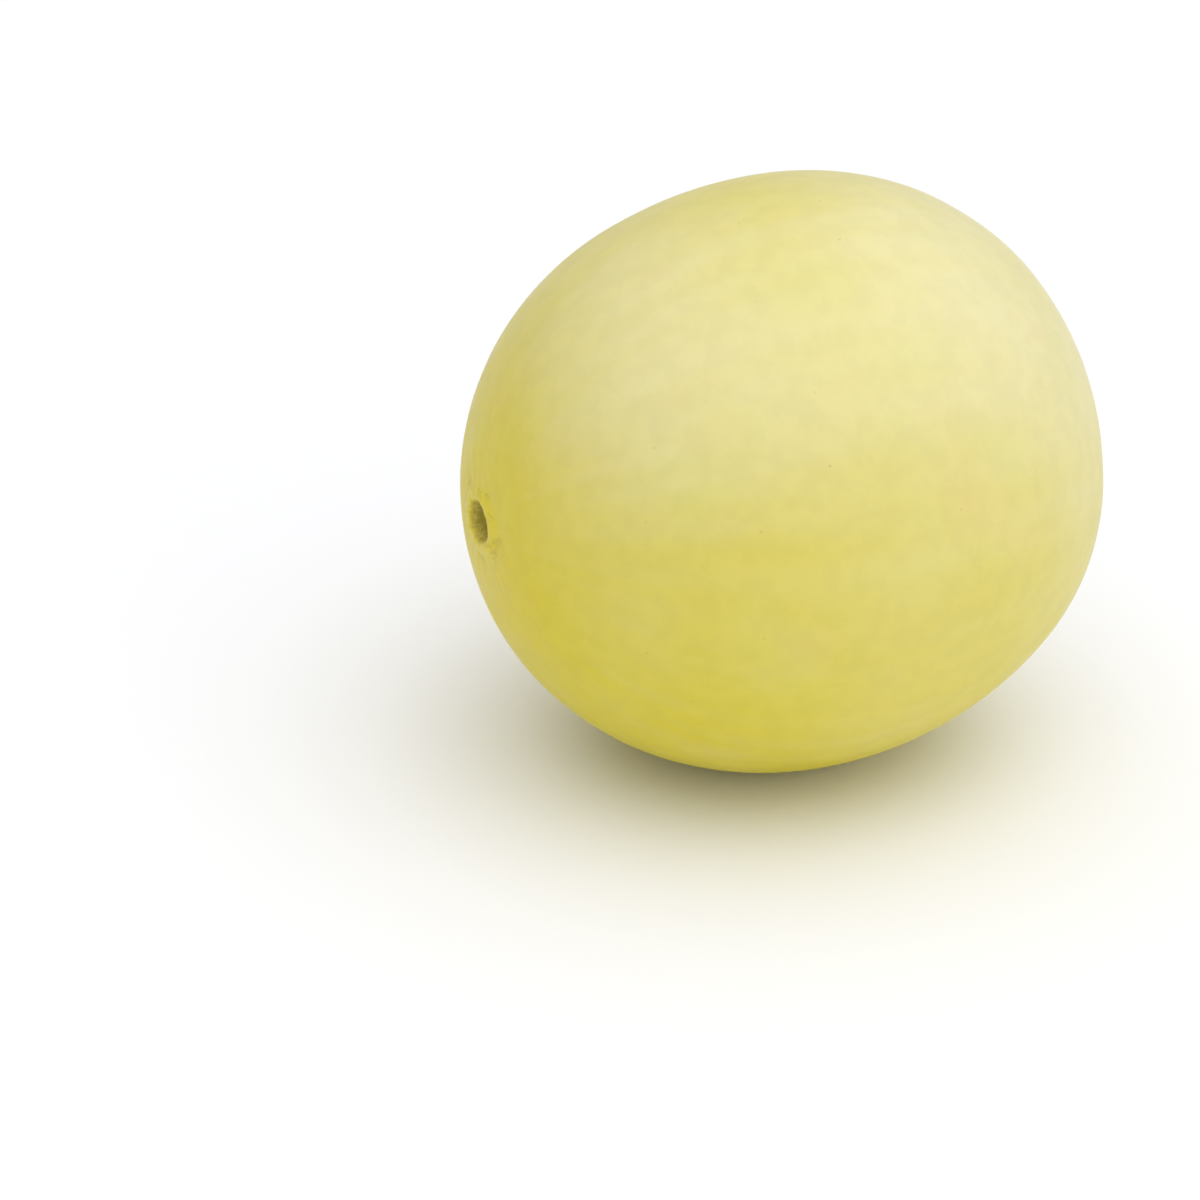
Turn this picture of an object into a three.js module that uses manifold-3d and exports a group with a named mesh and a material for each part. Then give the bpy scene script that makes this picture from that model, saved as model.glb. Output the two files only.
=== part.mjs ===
// A whole honeydew melon lying on its side: one solid, in millimetres, +Z up.
// The stem scar faces -X, the blossom scar faces +X, and the fruit rests on a flat spot at z = 0.
import * as THREE from "three";
import { mergeVertices } from "three/addons/utils/BufferGeometryUtils.js";
import Module from "manifold-3d";

// Body: a blunt ellipsoid whose long axis climbs a little towards the blossom end.
const LENGTH = 173;
const DIAMETER = 161;
const BLUNTNESS = 2.045; // exponent of the outline: 2 is a plain ellipse, more is squarer
const LEAN = THREE.MathUtils.degToRad(8);
const REST_RADIUS = 13; // the flat spot that the fruit lies on

// Broad swellings and hollows of the grown fruit: where each faces, its height, and its reach in degrees.
const SWELLINGS = [
  { faces: [-0.85, 0.06, -0.53], height: 0.85, reach: 24 }, // belly below the stem
  { faces: [-0.94, 0.32, -0.11], height: 0.6, reach: 18 }, // fuller side of the stem end
  { faces: [0.83, -0.48, -0.28], height: 2.1, reach: 22 }, // belly below the blossom end
  { faces: [0.61, 0.16, 0.78], height: 0.9, reach: 24 }, // crown
  { faces: [-0.2, 0.52, 0.83], height: -1.3, reach: 26 }, // flatter shoulder behind the crown
  { faces: [0.15, 0.97, -0.2], height: 0.9, reach: 32 }, // far flank
];

// Stem end: a shallow basin, a corky collar round the scar, and the pit that the stem slipped out of.
const STEM_BASIN_RADIUS = 20;
const STEM_BASIN_DEPTH = 0.7;
const COLLAR_RADIUS = 7.4;
const COLLAR_WIDTH = 2.1;
const COLLAR_HEIGHT = 1;
const PIT_RADIUS = 5.2;
const PIT_WALL = 1.1; // how far the wall slopes to each side of the pit's radius
const PIT_DEPTH = 2.8;
const PIT_OVAL = 0.08; // share by which the scar is wider to each side, and lower up and down

// Blossom end: a flatter cap with a low corky disc, and the dry nub of the flower in its middle.
const CAP_RADIUS = 28;
const CAP_DEPTH = 1.2;
const DISC_RADIUS = 6;
const DISC_EDGE = 1.2; // how far the disc's edge slopes to each side of its radius
const DISC_HEIGHT = 0.5;
const NUB_RADIUS = 1.5;
const NUB_HEIGHT = 0.8;

// Facets: how many go round the fruit and along it, and how strongly the rows crowd towards its two ends.
const FACETS_AROUND = 64;
const FACETS_ALONG = 60;
const CROWDING = 0.45;

const STEM_AXIS = new THREE.Vector3(-1, 0, 0);
const LONG_AXIS = new THREE.Vector3(Math.cos(LEAN), 0, Math.sin(LEAN));

// A smooth hill of height 1 at 0 that fades out over the width.
const bell = (distance, width) => Math.exp(-((distance / width) ** 2));

// 1 inside the radius and 0 outside it, with a sloping edge.
const plateau = (distance, radius, edge) =>
  1 - THREE.MathUtils.smoothstep(distance, radius - edge, radius + edge);

// The body's radius before any relief: a blunt ellipsoid round the long axis.
function bodyRadius(direction) {
  const along = Math.abs(direction.dot(LONG_AXIS));
  const across = Math.sqrt(Math.max(0, 1 - along * along));
  const share = (along / (LENGTH / 2)) ** BLUNTNESS + (across / (DIAMETER / 2)) ** BLUNTNESS;
  return share ** (-1 / BLUNTNESS);
}

function swellingHeight(direction) {
  return SWELLINGS.reduce((sum, { faces, height, reach }) => {
    const angle = direction.angleTo(new THREE.Vector3(...faces));
    return sum + height * bell(angle, THREE.MathUtils.degToRad(reach));
  }, 0);
}

// Relief of the stem end at a distance along the rind from the scar's middle, and at a turn round it.
function stemRelief(distance, turn) {
  const scarDistance = distance * (1 - PIT_OVAL * Math.cos(2 * turn));
  const basin = -STEM_BASIN_DEPTH * bell(distance, STEM_BASIN_RADIUS);
  const collar = COLLAR_HEIGHT * bell(scarDistance - COLLAR_RADIUS, COLLAR_WIDTH);
  const pit = -PIT_DEPTH * plateau(scarDistance, PIT_RADIUS, PIT_WALL);
  return basin + collar + pit;
}

function blossomRelief(distance) {
  const cap = -CAP_DEPTH * bell(distance, CAP_RADIUS);
  const disc = DISC_HEIGHT * plateau(distance, DISC_RADIUS, DISC_EDGE);
  const nub = NUB_HEIGHT * bell(distance, NUB_RADIUS);
  return cap + disc + nub;
}

// The rind's distance from the fruit's middle in any direction.
function rindRadius(direction) {
  const fromStem = direction.angleTo(STEM_AXIS);
  const turn = Math.atan2(direction.z, direction.y);
  const body = bodyRadius(direction);
  const stem = stemRelief(fromStem * body, turn);
  const blossom = blossomRelief((Math.PI - fromStem) * body);
  return body + swellingHeight(direction) + stem + blossom;
}

// The rind as a closed surface: a sphere with its poles at the two scars, drawn out to the rind.
function rindGeometry() {
  const geometry = new THREE.SphereGeometry(1, FACETS_AROUND, FACETS_ALONG).rotateZ(Math.PI / 2);
  const position = geometry.getAttribute("position");
  const direction = new THREE.Vector3();
  for (let i = 0; i < position.count; i++) {
    direction.fromBufferAttribute(position, i);
    const row = direction.angleTo(STEM_AXIS);
    const turn = Math.atan2(direction.z, direction.y);
    const fromStem = row - CROWDING * Math.sin(2 * row);
    const across = Math.sin(fromStem);
    direction.set(-Math.cos(fromStem), across * Math.cos(turn), across * Math.sin(turn));
    direction.multiplyScalar(rindRadius(direction));
    position.setXYZ(i, direction.x, direction.y, direction.z);
  }
  return geometry;
}

const wasm = await Module();
wasm.setup();

function toSolid(geometry) {
  const bare = geometry.clone();
  bare.deleteAttribute("normal");
  bare.deleteAttribute("uv");
  const merged = mergeVertices(bare);
  return new wasm.Manifold(
    new wasm.Mesh({
      numProp: 3,
      vertProperties: new Float32Array(merged.getAttribute("position").array),
      triVerts: new Uint32Array(merged.index.array),
    }),
  );
}

function toGeometry(solid) {
  const { vertProperties, triVerts } = solid.getMesh();
  const geometry = new THREE.BufferGeometry();
  geometry.setAttribute("position", new THREE.BufferAttribute(vertProperties, 3));
  geometry.setIndex(new THREE.BufferAttribute(triVerts, 1));
  geometry.computeVertexNormals();
  return geometry;
}

// Slices the flat spot off the lowest point, as deep as gives it its radius.
function withRestSpot(geometry) {
  geometry.computeBoundingBox();
  const curve = DIAMETER / 2;
  const depth = curve - Math.sqrt(curve ** 2 - REST_RADIUS ** 2);
  const ground = new THREE.BoxGeometry(LENGTH, LENGTH, LENGTH);
  ground.translate(0, 0, geometry.boundingBox.min.z + depth - LENGTH / 2);
  return toGeometry(toSolid(geometry).subtract(toSolid(ground)));
}

const rind = new THREE.MeshStandardMaterial({ color: 0xe2d68a, roughness: 0.42, metalness: 0 });
const melon = new THREE.Mesh(withRestSpot(rindGeometry()), rind);
melon.name = "melon";

// The origin is under the middle of the fruit, on the ground.
melon.geometry.computeBoundingBox();
const { min, max } = melon.geometry.boundingBox;
melon.position.set(-(min.x + max.x) / 2, -(min.y + max.y) / 2, -min.z);

const fruit = new THREE.Group();
fruit.add(melon);

export default fruit;
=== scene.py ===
"""A whole honeydew melon lying on a white table, in soft studio light. Lengths are in metres."""
import math
from random import Random

import bmesh
import bpy
import numpy as np
from mathutils import Matrix, Vector, noise


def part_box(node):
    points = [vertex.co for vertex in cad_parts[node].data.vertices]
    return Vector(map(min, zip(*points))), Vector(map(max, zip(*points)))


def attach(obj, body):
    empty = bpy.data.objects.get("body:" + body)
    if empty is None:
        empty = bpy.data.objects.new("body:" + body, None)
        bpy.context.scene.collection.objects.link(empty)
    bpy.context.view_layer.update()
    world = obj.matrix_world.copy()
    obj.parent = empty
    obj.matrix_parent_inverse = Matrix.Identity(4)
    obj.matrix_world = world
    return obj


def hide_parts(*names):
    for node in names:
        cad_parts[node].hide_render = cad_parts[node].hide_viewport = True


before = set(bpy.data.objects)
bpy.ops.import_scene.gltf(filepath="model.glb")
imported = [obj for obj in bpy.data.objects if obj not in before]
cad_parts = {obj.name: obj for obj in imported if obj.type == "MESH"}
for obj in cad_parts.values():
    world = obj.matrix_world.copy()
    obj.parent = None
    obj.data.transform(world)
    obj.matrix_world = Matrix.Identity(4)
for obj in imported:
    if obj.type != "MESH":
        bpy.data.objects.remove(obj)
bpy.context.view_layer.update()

# Body, as the solid has it: a blunt ellipsoid whose long axis climbs towards the blossom end.
LENGTH = 0.173
DIAMETER = 0.161
BLUNTNESS = 2.045
LEAN = math.radians(8)
LONG_AXIS = np.array((math.cos(LEAN), 0, math.sin(LEAN)))
STEM_AXIS = np.array((-1.0, 0, 0))

# Broad swellings and hollows: where each faces, its height, and its reach in degrees.
SWELLINGS = (
    ((-0.85, 0.06, -0.53), 0.00085, 24),  # belly below the stem
    ((-0.94, 0.32, -0.11), 0.0006, 18),  # fuller side of the stem end
    ((0.83, -0.48, -0.28), 0.0021, 22),  # belly below the blossom end
    ((0.61, 0.16, 0.78), 0.0009, 24),  # crown
    ((-0.2, 0.52, 0.83), -0.0013, 26),  # flatter shoulder behind the crown
    ((0.15, 0.97, -0.2), 0.0009, 32),  # far flank
)

# Stem end, as the solid has it.
BASIN_RADIUS = 0.020
BASIN_DEPTH = 0.0007
COLLAR_RADIUS = 0.0074
COLLAR_WIDTH = 0.0021
COLLAR_HEIGHT = 0.0010
PIT_RADIUS = 0.0052
PIT_WALL = 0.0011
PIT_DEPTH = 0.0028
PIT_OVAL = 0.08

# Stem end, fine: a wavering outline, a boss with a ring of sap vessels in the pit, and wrinkles,
# cracks and folds round it. A count is about how many lie round the scar.
SCAR_WAVER = 0.06
COLLAR_WAVER = 0.35
BOSS_RADIUS = 0.0016
BOSS_HEIGHT = 0.0007
VESSEL_COUNT = 10
VESSEL_RING = 0.0031
VESSEL_RADIUS = 0.00042
VESSEL_HEIGHT = 0.00035
VESSEL_SCATTER = 0.3  # share of their spacing by which the vessels stray
WRINKLE_COUNT = 34
WRINKLE_DEPTH = 0.00014
WRINKLE_WIDTH = 0.0018
WRINKLE_LENGTH = 0.004
CRACK_COUNT = 11
CRACK_DEPTH = 0.00014
CRACK_RADIUS = 0.0098
CRACK_REACH = 0.0032
CRACK_SPACING = 0.0013
CRACK_WIDTH = 0.3  # share of the spacing
CRACK_GAPS = 8  # breaks in each crack
CRACK_GAP_LENGTH = 0.004
CRACK_CORK = 0.6
CORK_RADIUS = 0.0060
CORK_EDGE = 0.0007
CORK_FRAY = 0.0005
FRAY_COUNT = 26
FRAY_LENGTH = 0.003
# The crevice round the boss, and the boss on the pit's floor, are darkened with painted shade.
CREVICE_RADIUS = 0.0042
CREVICE_WIDTH = 0.0008
BOSS_SHADE = 0.45  # how dark the boss is, beside the crevice round it
FOLD_COUNT = 16
FOLD_DEPTH = 0.00018
FOLD_RADIUS = 0.014
FOLD_WIDTH = 0.008

# Blossom end, as the solid has it.
CAP_RADIUS = 0.028
CAP_DEPTH = 0.0012
DISC_RADIUS = 0.006
DISC_EDGE = 0.0012
DISC_HEIGHT = 0.0005
NUB_RADIUS = 0.0015
NUB_HEIGHT = 0.0008

# Blossom end, fine: growth rings and flecks of cork on the disc, and cork on its edge and its nub.
GROWTH_SPACING = 0.0015
GROWTH_HEIGHT = 0.00005
DISC_WAVER = 0.10
RING_RADIUS = 0.0054
RING_WIDTH = 0.0008
RING_FRAY = 0.0007
RING_FRAY_COUNT = 24
FLECK_SIZE = 0.0012
NUB_WAVER = 0.3
NUB_CORK = 0.0021
NUB_CORK_EDGE = 0.0006
# Painted shade in the crevice round the nub: how dark it is.
NUB_CREVICE_SHADE = 0.7  # how dark the crevice round the nub is
NUB_CREVICE_WIDTH = 0.0005

# Rind, fine: gentle waves of two sizes, faint lobes along the fruit and shallow dents from handling.
WAVES = ((0.026, 0.00016), (0.010, 0.00005))
LOBE_COUNT = 10
LOBE_HEIGHT = 0.00010
DENT_COUNT = 16
DENT_SEED = 11
DENT_REACH = (0.05, 0.11)  # radians
DENT_DEPTH = (0.00008, 0.00018)

# Ripeness and painted light: how pale the rind is, from 0 for yellow to 1 for cream, with patches that had
# more or less sun. The paleness rises towards the top, the front and the blossom end, partly as real
# ripening and partly as painted highlight; the yellower rind below is partly the real ground side and
# partly painted shade, and the patches hold painted highlight and painted shade as well as real tone. Each
# patch has where it faces, how much paler it is, and its reach in degrees.
PALE_MIDDLE = 0.37
# The slope is painted highlight towards the top and the front, as well as real ripening.
PALE_AND_PAINTED_LIGHT_SLOPE = (0.165, -0.13, 0.51)  # rise of the paleness along each axis
# Patches of real tone that also carry painted highlight and painted shade.
PALE_AND_PAINTED_LIGHT_PATCHES = (
    ((-0.75, -0.45, 0.49), 0.26, 18),  # near shoulder of the stem end
    ((-0.15, -0.05, 0.98), -0.28, 20),  # crown
    ((0.65, -0.36, 0.67), 0.26, 20),  # shoulder of the blossom end
    ((-0.52, -0.85, 0.05), -0.15, 22),  # near flank
    ((0.10, -0.97, 0.24), -0.16, 24),  # belly
    ((0.0, 0.95, -0.31), 0.14, 40),  # far flank
)
GOLD_REACH = math.radians(22)  # golden rind round the stem end
GOLD_SHARE = 0.38  # paleness that the gold takes away
PATCH_WANDER = 0.35  # share by which the edges of the patches wander
PATCH_WANDER_SIZE = 0.45
STREAK_COUNT = 44  # streaks that run from scar to scar
STREAK_DEPTH = 0.7
STREAK_BREAKS = 1.3  # how often a streak changes on its way, for each radian

# Facets: round the fruit, along it, and how strongly the rows crowd towards the two scars.
FACETS_AROUND = 360
FACETS_ALONG = 256
CROWDING = 0.40


def bell(distance, width):
    """A smooth hill of height 1 at 0 that fades out over the width."""
    return np.exp(-((distance / width) ** 2))


def plateau(distance, radius, edge):
    """1 inside the radius and 0 outside it, with a slope as wide as the edge on each side."""
    share = np.clip((distance - radius + edge) / (2 * edge), 0, 1)
    return 1 - share * share * (3 - 2 * share)


def angle_between(directions, axis):
    return np.arccos(np.clip(directions @ (np.array(axis) / np.linalg.norm(axis)), -1, 1))


def waver(points, size=1.0, draw=0):
    """Smooth noise from about -1 to 1 at the points, with features of the given size."""
    shifted = points / size + np.array((17.3, -9.1, 4.7)) * (draw + 1)
    return np.array([noise.noise(point) for point in shifted.tolist()])


def waver_round(turn, lobes, draw=0, along=0.0):
    """Noise that runs round an axis with about as many lobes as given, and may change along it."""
    ring = lobes / math.tau * 2
    points = np.column_stack((ring * np.cos(turn), ring * np.sin(turn), np.zeros_like(turn) + along))
    return waver(points, draw=draw)


def hairline(field, width):
    """1 on the lines where a noise field passes 0, fading out over the width."""
    return np.clip(1 - np.abs(field) / width, 0, 1)


# Shape of the fruit
def body_radius(directions):
    along = np.abs(directions @ LONG_AXIS)
    across = np.sqrt(np.clip(1 - along * along, 0, 1))
    share = (along / (LENGTH / 2)) ** BLUNTNESS + (across / (DIAMETER / 2)) ** BLUNTNESS
    return share ** (-1 / BLUNTNESS)


def swelling(directions):
    height = np.zeros(len(directions))
    for faces, top, reach in SWELLINGS:
        height += top * bell(angle_between(directions, faces), math.radians(reach))
    return height


def stem_end(distance, turn):
    """Relief, cork and painted crevice shade at a distance from the stem scar's middle and a turn round
    it.
    """
    oval = distance * (1 - PIT_OVAL * np.cos(2 * turn))
    scar = oval * (1 + SCAR_WAVER * waver_round(turn, 6, draw=1))
    relief = -BASIN_DEPTH * bell(distance, BASIN_RADIUS)
    collar = COLLAR_HEIGHT * (1 + COLLAR_WAVER * waver_round(turn, 9, draw=2))
    relief += collar * bell(scar - COLLAR_RADIUS, COLLAR_WIDTH)
    relief -= PIT_DEPTH * plateau(scar, PIT_RADIUS, PIT_WALL)
    relief += BOSS_HEIGHT * bell(scar, BOSS_RADIUS)
    for vessel in range(VESSEL_COUNT):
        angle = math.tau * (vessel + VESSEL_SCATTER * math.sin(vessel * 2.4)) / VESSEL_COUNT
        apart = np.hypot(
            scar * np.cos(turn) - VESSEL_RING * math.cos(angle),
            scar * np.sin(turn) - VESSEL_RING * math.sin(angle),
        )
        relief += VESSEL_HEIGHT * bell(apart, VESSEL_RADIUS)
    wrinkles = waver_round(turn, WRINKLE_COUNT, draw=3, along=distance / WRINKLE_LENGTH)
    relief += WRINKLE_DEPTH * wrinkles * bell(scar - PIT_RADIUS, WRINKLE_WIDTH)
    broken = 0.2 + 2 * waver_round(turn, CRACK_GAPS, draw=11, along=scar / CRACK_GAP_LENGTH)
    cracks = waver_round(turn, CRACK_COUNT, draw=4, along=scar / CRACK_SPACING)
    cracks = np.clip(broken, 0, 1) * hairline(cracks, CRACK_WIDTH)
    cracks *= bell(scar - CRACK_RADIUS, CRACK_REACH)
    relief -= CRACK_DEPTH * cracks
    folds = waver_round(turn, FOLD_COUNT, draw=5) * bell(distance - FOLD_RADIUS, FOLD_WIDTH)
    relief += FOLD_DEPTH * folds
    ragged = scar + CORK_FRAY * waver_round(turn, FRAY_COUNT, draw=6, along=distance / FRAY_LENGTH)
    cork = np.maximum(plateau(ragged, CORK_RADIUS, CORK_EDGE), CRACK_CORK * cracks)
    # Painted shade in the crevice round the boss and, fainter, on the boss at the pit's floor.
    crevice_shade = bell(scar - CREVICE_RADIUS, CREVICE_WIDTH)
    crevice_shade += BOSS_SHADE * plateau(scar, CREVICE_RADIUS, CREVICE_WIDTH)
    return relief, cork, crevice_shade


def blossom_end(distance, turn):
    """Relief, cork and painted crevice shade at a distance from the blossom scar's middle and a turn round
    it.
    """
    scar = distance * (1 + DISC_WAVER * waver_round(turn, 7, draw=7))
    disc = plateau(scar, DISC_RADIUS, DISC_EDGE)
    relief = -CAP_DEPTH * bell(distance, CAP_RADIUS) + DISC_HEIGHT * disc
    relief += NUB_HEIGHT * bell(scar, NUB_RADIUS) * (1 + NUB_WAVER * waver_round(turn, 8, draw=8))
    relief += GROWTH_HEIGHT * disc * np.cos(math.tau * scar / GROWTH_SPACING)
    spots = np.column_stack((scar * np.cos(turn), scar * np.sin(turn), np.zeros_like(turn)))
    flecks = np.clip(0.45 + 0.9 * waver(spots, FLECK_SIZE, draw=9), 0, 1)
    fray = waver_round(turn, RING_FRAY_COUNT, draw=10, along=distance / FRAY_LENGTH)
    ragged = scar + RING_FRAY * fray
    ring = bell(ragged - RING_RADIUS, RING_WIDTH) * (0.6 + 0.5 * flecks)
    cork = np.maximum(plateau(scar, NUB_CORK, NUB_CORK_EDGE), ring)
    cork = np.maximum(cork, (0.25 + 0.45 * flecks) * plateau(ragged, RING_RADIUS, RING_WIDTH))
    # Painted shade in the crevice round the nub.
    crevice_shade = NUB_CREVICE_SHADE * bell(scar - NUB_CORK, NUB_CREVICE_WIDTH)
    return relief, cork, crevice_shade


def rind_relief(directions, from_stem, turn):
    """The rind's own fine relief: waves, lobes that fade towards the scars, and dents."""
    points = directions * DIAMETER / 2
    relief = sum(height * waver(points, size, draw=12) for size, height in WAVES)
    relief += LOBE_HEIGHT * np.cos(LOBE_COUNT * turn) * np.sin(from_stem) ** 2
    draw = Random(DENT_SEED)
    for _ in range(DENT_COUNT):
        faces = Vector((draw.gauss(0, 1), draw.gauss(0, 1), draw.gauss(0, 1))).normalized()
        reach = draw.uniform(*DENT_REACH)
        relief -= draw.uniform(*DENT_DEPTH) * bell(angle_between(directions, faces), reach)
    return relief


def ripeness_and_painted_light(directions, from_stem):
    """How pale and how golden the rind is, in patches whose edges wander. The paleness holds painted
    highlight on top and to the front and painted shade below, besides real ripening.
    """
    wander = 1 + PATCH_WANDER * waver(directions, PATCH_WANDER_SIZE, draw=14)
    gold = bell(from_stem * wander, GOLD_REACH)
    # Paler on top, to the front and towards the blossom end: painted highlight together with real
    # ripening.
    pale_and_painted_light = PALE_MIDDLE + directions @ np.array(PALE_AND_PAINTED_LIGHT_SLOPE) - GOLD_SHARE * gold
    for faces, share, reach in PALE_AND_PAINTED_LIGHT_PATCHES:
        pale_and_painted_light += share * bell(angle_between(directions, faces) * wander, math.radians(reach))
    return pale_and_painted_light, gold


# Pieces
def half_circle_spun():
    """A ball of radius 1 with its poles at the two scars, spun from a half circle of close rows."""
    ball = bmesh.new()
    profile = []
    for row in range(FACETS_ALONG + 1):
        even = math.pi * row / FACETS_ALONG
        from_stem = even - CROWDING * math.sin(2 * even)
        profile.append(ball.verts.new((-math.cos(from_stem), math.sin(from_stem), 0)))
    edges = [ball.edges.new(pair) for pair in zip(profile, profile[1:])]
    bmesh.ops.spin(
        ball, geom=profile + edges, cent=(0, 0, 0), axis=(1, 0, 0), dvec=(0, 0, 0),
        angle=math.tau, steps=FACETS_AROUND, use_merge=True,
    )
    bmesh.ops.remove_doubles(ball, verts=ball.verts, dist=1e-7)
    bmesh.ops.recalc_face_normals(ball, faces=ball.faces)
    return ball


def mark(mesh, name, values):
    """Keeps a value from 0 to 1 for each vertex, for the finish to read."""
    attribute = mesh.attributes.new(name, "FLOAT", "POINT")
    attribute.data.foreach_set("value", np.clip(values, 0, 1).astype(np.float32))


def melon_rind():
    """The whole rind, and the place of the fruit's middle."""
    ball = half_circle_spun()
    mesh = bpy.data.meshes.new("melon_rind")
    ball.to_mesh(mesh)
    ball.free()
    directions = np.empty(len(mesh.vertices) * 3)
    mesh.vertices.foreach_get("co", directions)
    directions = directions.reshape(-1, 3)
    directions /= np.linalg.norm(directions, axis=1)[:, None]

    body = body_radius(directions)
    from_stem = angle_between(directions, STEM_AXIS)
    turn = np.arctan2(directions[:, 2], directions[:, 1])
    stem, stem_cork, stem_crevice_shade = stem_end(from_stem * body, turn)
    blossom, blossom_cork, blossom_crevice_shade = blossom_end((math.pi - from_stem) * body, turn)
    smooth = body + swelling(directions)
    low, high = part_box("melon")
    points = directions * (smooth + stem + blossom)[:, None]
    middle = (np.array(low) + np.array(high) - points.min(0) - points.max(0)) / 2
    middle[2] = high.z - points[:, 2].max()
    radius = smooth + stem + blossom + rind_relief(directions, from_stem, turn)
    points = directions * radius[:, None] + middle
    points[:, 2] = np.maximum(points[:, 2], low.z)
    mesh.vertices.foreach_set("co", points.ravel())
    mesh.polygons.foreach_set("use_smooth", np.ones(len(mesh.polygons), bool))
    mark(mesh, "cork", stem_cork + blossom_cork)
    # Painted shade in the scars' crevices.
    mark(mesh, "crevice_shade", stem_crevice_shade + blossom_crevice_shade)
    # Paleness, which holds painted highlight and painted shade as well as ripening.
    pale_and_painted_light, gold = ripeness_and_painted_light(directions, from_stem)
    mark(mesh, "pale_and_painted_light", pale_and_painted_light)
    mark(mesh, "gold", gold)
    streaks = waver_round(turn, STREAK_COUNT, draw=13, along=from_stem * STREAK_BREAKS)
    mark(mesh, "streak", 0.5 + STREAK_DEPTH * streaks)
    mesh.update()
    rind = bpy.data.objects.new("melon_rind", mesh)
    bpy.context.scene.collection.objects.link(rind)
    return rind, Vector(middle)


# Finishes
def node(tree, kind, inputs=None, **settings):
    """Adds a node; an input is a socket to join to, or a value to set."""
    made = tree.nodes.new(kind)
    for name, value in settings.items():
        setattr(made, name, value)
    for name, value in (inputs or {}).items():
        join(tree, made.inputs[name], value)
    return made


def join(tree, socket, value):
    if isinstance(value, bpy.types.NodeSocket):
        tree.links.new(value, socket)
    else:
        socket.default_value = value


def colour_mix(tree, share, below, above, blend="MIX"):
    """Lays one colour over another by a share from 0 to 1."""
    mix = node(tree, "ShaderNodeMix", data_type="RGBA", blend_type=blend)
    sockets = {socket.identifier: socket for socket in mix.inputs}
    join(tree, sockets["Factor_Float"], share)
    join(tree, sockets["A_Color"], below)
    join(tree, sockets["B_Color"], above)
    return next(socket for socket in mix.outputs if socket.identifier == "Result_Color")


def maths(tree, operation, *values):
    made = node(tree, "ShaderNodeMath", operation=operation)
    for socket, value in zip(made.inputs, values):
        join(tree, socket, value)
    return made.outputs[0]


def ranged(tree, value, low, high, to_low=0.0, to_high=1.0):
    """Maps a value from one range to another with soft ends."""
    made = node(tree, "ShaderNodeMapRange", interpolation_type="SMOOTHSTEP")
    join(tree, made.inputs["Value"], value)
    for name, bound in zip(("From Min", "From Max", "To Min", "To Max"), (low, high, to_low, to_high)):
        join(tree, made.inputs[name], bound)
    return made.outputs["Result"]


def new_group(name, inputs, outputs):
    """A shader node group with named sockets, and its inner input and output nodes."""
    group = bpy.data.node_groups.new(name, "ShaderNodeTree")
    for socket, kind, default in inputs:
        made = group.interface.new_socket(socket, in_out="INPUT", socket_type=kind)
        if default is not None:
            made.default_value = default
    for socket, kind in outputs:
        group.interface.new_socket(socket, in_out="OUTPUT", socket_type=kind)
    entry = group.nodes.new("NodeGroupInput").outputs
    leave = group.nodes.new("NodeGroupOutput").inputs
    return group, entry, leave


def place_group(tree, group, inputs):
    placed = tree.nodes.new("ShaderNodeGroup")
    placed.node_tree = group
    for name, value in inputs.items():
        join(tree, placed.inputs[name], value)
    return placed.outputs


def blotch_group():
    """Soft patches of a given size: a noise cut between two levels."""
    group, entry, leave = new_group(
        "soft_blotches",
        [
            ("Vector", "NodeSocketVector", None),
            ("Size", "NodeSocketFloat", 0.02),
            ("Detail", "NodeSocketFloat", 2.0),
            ("Low", "NodeSocketFloat", 0.4),
            ("High", "NodeSocketFloat", 0.6),
        ],
        [("Mask", "NodeSocketFloat")],
    )
    scale = maths(group, "DIVIDE", 1.0, entry["Size"])
    cloud = node(
        group, "ShaderNodeTexNoise",
        {"Vector": entry["Vector"], "Scale": scale, "Detail": entry["Detail"]},
    )
    join(group, leave["Mask"], ranged(group, cloud.outputs["Fac"], entry["Low"], entry["High"]))
    return group


def speck_group():
    """Small round specks, one in some of the cells of a grid with wandering points."""
    group, entry, leave = new_group(
        "specks",
        [
            ("Vector", "NodeSocketVector", None),
            ("Spacing", "NodeSocketFloat", 0.006),
            ("Share", "NodeSocketFloat", 0.5),
            ("Radius", "NodeSocketFloat", 0.08),
        ],
        [("Mask", "NodeSocketFloat")],
    )
    scale = maths(group, "DIVIDE", 1.0, entry["Spacing"])
    cells = node(group, "ShaderNodeTexVoronoi", {"Vector": entry["Vector"], "Scale": scale})
    chance = node(group, "ShaderNodeSeparateColor", {"Color": cells.outputs["Color"]})
    growth = ranged(group, chance.outputs["Green"], 0, 1, 0.4, 1.2)
    radius = maths(group, "MULTIPLY", entry["Radius"], growth)
    inside = ranged(group, maths(group, "DIVIDE", cells.outputs["Distance"], radius), 0.5, 1.0, 1.0, 0.0)
    chosen = maths(group, "LESS_THAN", chance.outputs["Red"], entry["Share"])
    join(group, leave["Mask"], maths(group, "MULTIPLY", inside, chosen))
    return group


# Cream and yellow are the rind's own tones. Through the paleness, the cream also stands in for painted
# highlight on top and the yellow for painted shade below.
CREAM = (0.795, 0.735, 0.41, 1)
YELLOW = (0.69, 0.585, 0.025, 1)
GOLD = (0.765, 0.61, 0.05, 1)
GREEN_CAST = (0.66, 0.68, 0.16, 1)
TAN_BLUSH = (0.80, 0.62, 0.22, 1)
SPECK_TAN = (0.46, 0.34, 0.11, 1)
CORK_PALE = (0.58, 0.47, 0.12, 1)
CORK_DARK = (0.40, 0.32, 0.035, 1)
# Painted shade for the scars' crevices, darker than the cork.
CREVICE_SHADE_BROWN = (0.33, 0.27, 0.015, 1)

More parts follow.
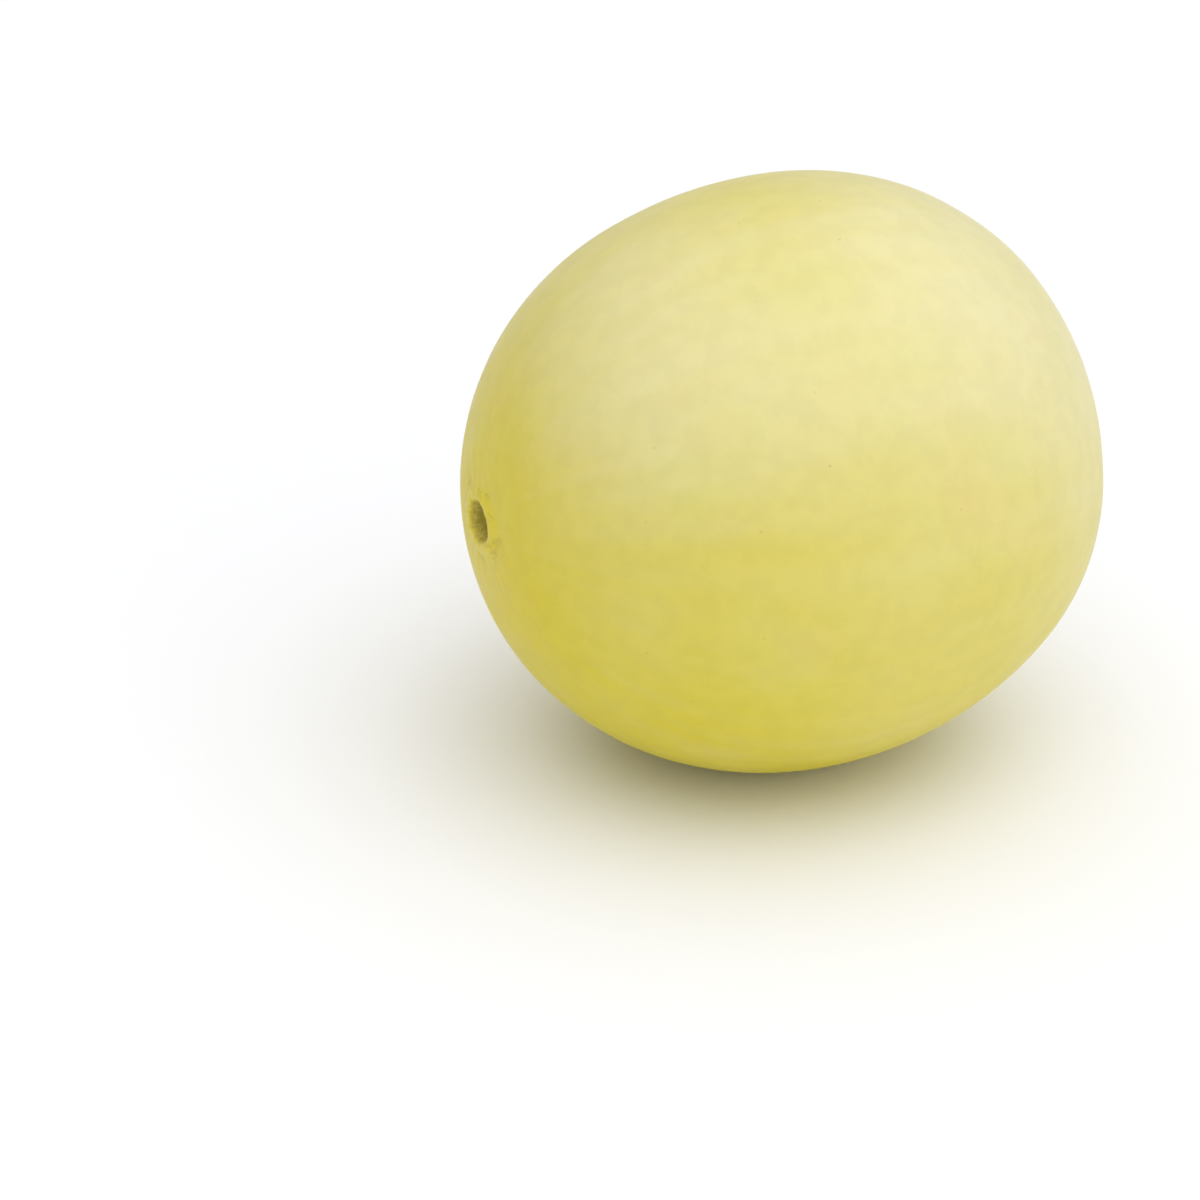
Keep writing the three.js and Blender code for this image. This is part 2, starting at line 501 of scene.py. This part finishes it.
# How strongly each tint lies on the rind, from 0 to 1.
DRIFT_SHARE = 0.13
STREAK_SHARE = 0.09
GOLD_TINT = 0.7
GREEN_TINT = 0.12
BLUSH_TINT = 0.22
SPECK_TINT = 0.30
# Share of the painted crevice shade on the cork.
CREVICE_SHADE_TINT = 0.85

# Sizes of the soft patches in the finish.
DRIFT_SIZE = 0.05
GREEN_SIZE = 0.034
BLUSH_SIZE = 0.028
MOTTLE_SIZE = 0.006
WAX_SIZE = 0.012
PORE_SIZE = 0.0055
GRAIN_SIZE = 0.0017
CORK_GRAIN_SIZE = 0.0011
BUMP_DEPTH = 0.00010


def rind_finish(middle):
    """Waxy rind that goes from yellow below and at the stem to cream on top, partly as real ripening and
    partly as painted shade below and painted highlight on top, with cork at the scars and painted shade in
    their crevices.
    """
    material = bpy.data.materials.new("honeydew_rind")
    material.use_nodes = True
    tree = material.node_tree
    tree.nodes.clear()
    blotches, specks = blotch_group(), speck_group()
    place = node(tree, "ShaderNodeTexCoord").outputs["Object"]
    place = node(
        tree, "ShaderNodeMapping", {"Vector": place, "Location": -middle}, vector_type="POINT"
    ).outputs["Vector"]

    def patches(size, low, high, detail=2.0):
        return place_group(
            tree, blotches, {"Vector": place, "Size": size, "Low": low, "High": high, "Detail": detail}
        )["Mask"]

    def attribute(name):
        return node(tree, "ShaderNodeAttribute", attribute_name=name).outputs["Fac"]

    def tint(below, mask, share, above):
        """Lays a tint over a colour where the mask is, by the given share."""
        return colour_mix(tree, maths(tree, "MULTIPLY", mask, share), below, above)

    # Yellow to cream by ripeness, which drifts in soft patches and in streaks from scar to scar; the cream
    # on top is partly painted highlight and the yellow below partly painted shade.
    drift = maths(tree, "SUBTRACT", patches(DRIFT_SIZE, 0.3, 0.7, 3.0), 0.5)
    drift = maths(tree, "MULTIPLY", drift, DRIFT_SHARE)
    streak = maths(tree, "SUBTRACT", attribute("streak"), 0.5)
    streak = maths(tree, "MULTIPLY", streak, STREAK_SHARE)
    pale_and_painted_light = maths(tree, "ADD", attribute("pale_and_painted_light"), maths(tree, "ADD", drift, streak))
    colour = colour_mix(tree, pale_and_painted_light, YELLOW, CREAM)
    colour = tint(colour, attribute("gold"), GOLD_TINT, GOLD)
    colour = tint(colour, patches(GREEN_SIZE, 0.48, 0.72), GREEN_TINT, GREEN_CAST)
    colour = tint(colour, patches(BLUSH_SIZE, 0.56, 0.78), BLUSH_TINT, TAN_BLUSH)

    # A fine mottle, and a few tan specks.
    mottle = ranged(tree, patches(MOTTLE_SIZE, 0.3, 0.7, 4.0), 0, 1, 0.98, 1.015)
    grey = node(tree, "ShaderNodeCombineColor", {"Red": mottle, "Green": mottle, "Blue": mottle})
    colour = colour_mix(tree, 1.0, colour, grey.outputs["Color"], "MULTIPLY")
    dots = place_group(
        tree, specks, {"Vector": place, "Spacing": 0.0058, "Share": 0.55, "Radius": 0.075}
    )["Mask"]
    colour = tint(colour, dots, SPECK_TINT, SPECK_TAN)

    # Cork at the scars, with painted shade, a darker brown, in their crevices.
    cork_grain = patches(CORK_GRAIN_SIZE, 0.35, 0.68, 3.0)
    cork_colour = colour_mix(tree, cork_grain, CORK_DARK, CORK_PALE)
    cork_colour = tint(cork_colour, attribute("crevice_shade"), CREVICE_SHADE_TINT, CREVICE_SHADE_BROWN)
    cork = attribute("cork")
    colour = colour_mix(tree, cork, colour, cork_colour)

    # Uneven wax, dry cork, and a fine grain and pores in the skin.
    roughness = ranged(tree, patches(WAX_SIZE, 0.3, 0.7, 3.0), 0, 1, 0.40, 0.48)
    roughness = maths(tree, "ADD", roughness, maths(tree, "MULTIPLY", cork, 0.4))
    grain = patches(GRAIN_SIZE, 0.25, 0.75, 2.0)
    grain = maths(tree, "MULTIPLY", grain, maths(tree, "ADD", 0.25, cork))
    pores = maths(tree, "MULTIPLY", patches(PORE_SIZE, 0.25, 0.75, 1.0), 0.5)
    height = maths(tree, "ADD", grain, pores)
    bump = node(tree, "ShaderNodeBump", {"Height": height, "Distance": BUMP_DEPTH, "Strength": 1.0})
    skin = node(
        tree, "ShaderNodeBsdfPrincipled",
        {
            "Base Color": colour,
            "Roughness": roughness,
            "Normal": bump.outputs["Normal"],
            "Specular IOR Level": 0.28,
            "Coat Weight": 0.05,
            "Coat Roughness": 0.30,
            "Subsurface Weight": 0.10,
            "Subsurface Radius": (1.0, 0.75, 0.25),
            "Subsurface Scale": 0.004,
        },
    )
    node(tree, "ShaderNodeOutputMaterial", {"Surface": skin.outputs["BSDF"]})
    return material


def table_finish():
    material = bpy.data.materials.new("white_table")
    material.use_nodes = True
    skin = material.node_tree.nodes["Principled BSDF"]
    skin.inputs["Base Color"].default_value = (0.95, 0.955, 0.985, 1)
    skin.inputs["Roughness"].default_value = 0.7
    skin.inputs["Specular IOR Level"].default_value = 0.2
    return material


# Stage
TABLE_RADIUS = 8.0
PHOTO_WIDTH = 1200  # the photo's frame is square
FOCAL_PX = 2700
MIDDLE_PX = (779.7, 472.4)  # where the fruit's middle lies in the photo
CAMERA_AZIMUTH = math.radians(-22)
CAMERA_PITCH = math.radians(26)
CAMERA_DISTANCE = 0.732  # from the lens to the fruit's middle, along the view
SENSOR_WIDTH = 36

# Soft lights: where each stands as seen from the fruit, its strength, and what the white room gives back.
SOFT_LIGHTS = (
    ("overhead_softbox", (0, 0, 1), 1.38),
    ("front_softbox", (0.02, -0.72, 0.69), 0.91),
    ("side_softbox", (0.67, -0.27, 0.69), 0.36),
)
LIGHT_SPREAD = math.radians(90)
FILL_LIGHT = 0.36


def white_table():
    shape = bmesh.new()
    bmesh.ops.create_circle(shape, cap_ends=True, radius=TABLE_RADIUS, segments=96)
    mesh = bpy.data.meshes.new("white_table")
    shape.to_mesh(mesh)
    shape.free()
    mesh.materials.append(table_finish())
    table = bpy.data.objects.new("white_table", mesh)
    bpy.context.scene.collection.objects.link(table)


def photo_camera(middle):
    """Looks at the fruit from the photo's side and height, with the fruit where the photo has it."""
    turn, pitch = CAMERA_AZIMUTH, CAMERA_PITCH
    right = Vector((math.cos(turn), math.sin(turn), 0))
    back = Vector((math.sin(turn) * math.cos(pitch), -math.cos(turn) * math.cos(pitch), math.sin(pitch)))
    up = back.cross(right)
    per_px = CAMERA_DISTANCE / FOCAL_PX
    across = (MIDDLE_PX[0] - PHOTO_WIDTH / 2) * per_px
    above = (PHOTO_WIDTH / 2 - MIDDLE_PX[1]) * per_px
    lens = bpy.data.cameras.new("photo_camera")
    lens.sensor_width = SENSOR_WIDTH
    lens.lens = SENSOR_WIDTH * FOCAL_PX / PHOTO_WIDTH
    camera = bpy.data.objects.new("photo_camera", lens)
    spot = middle - across * right - above * up + CAMERA_DISTANCE * back
    camera.matrix_world = Matrix.Translation(spot) @ Matrix((right, up, back)).transposed().to_4x4()
    bpy.context.scene.collection.objects.link(camera)
    bpy.context.scene.camera = camera


def soft_light(name, towards, strength):
    """A very wide soft source far off, which shines on the fruit from the given side."""
    lamp = bpy.data.lights.new(name, "SUN")
    lamp.energy = strength
    lamp.angle = LIGHT_SPREAD
    light = bpy.data.objects.new(name, lamp)
    light.rotation_euler = Vector(towards).to_track_quat("Z", "Y").to_euler()
    bpy.context.scene.collection.objects.link(light)


def studio_light():
    """Soft lights in a white room, which stays plain white behind the fruit."""
    for name, towards, strength in SOFT_LIGHTS:
        soft_light(name, towards, strength)
    world = bpy.data.worlds.new("studio")
    world.use_nodes = True
    backdrop = world.node_tree.nodes["Background"]
    backdrop.inputs["Color"].default_value = (1, 1, 1, 1)
    seen = node(world.node_tree, "ShaderNodeLightPath").outputs["Is Camera Ray"]
    glow = maths(world.node_tree, "MULTIPLY_ADD", seen, 1.0 - FILL_LIGHT, FILL_LIGHT)
    join(world.node_tree, backdrop.inputs["Strength"], glow)
    bpy.context.scene.world = world
    bpy.context.scene.view_settings.view_transform = "Standard"


rind, middle = melon_rind()
rind.data.materials.append(rind_finish(middle))
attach(rind, "root")
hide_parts("melon")
white_table()
studio_light()
photo_camera(middle)
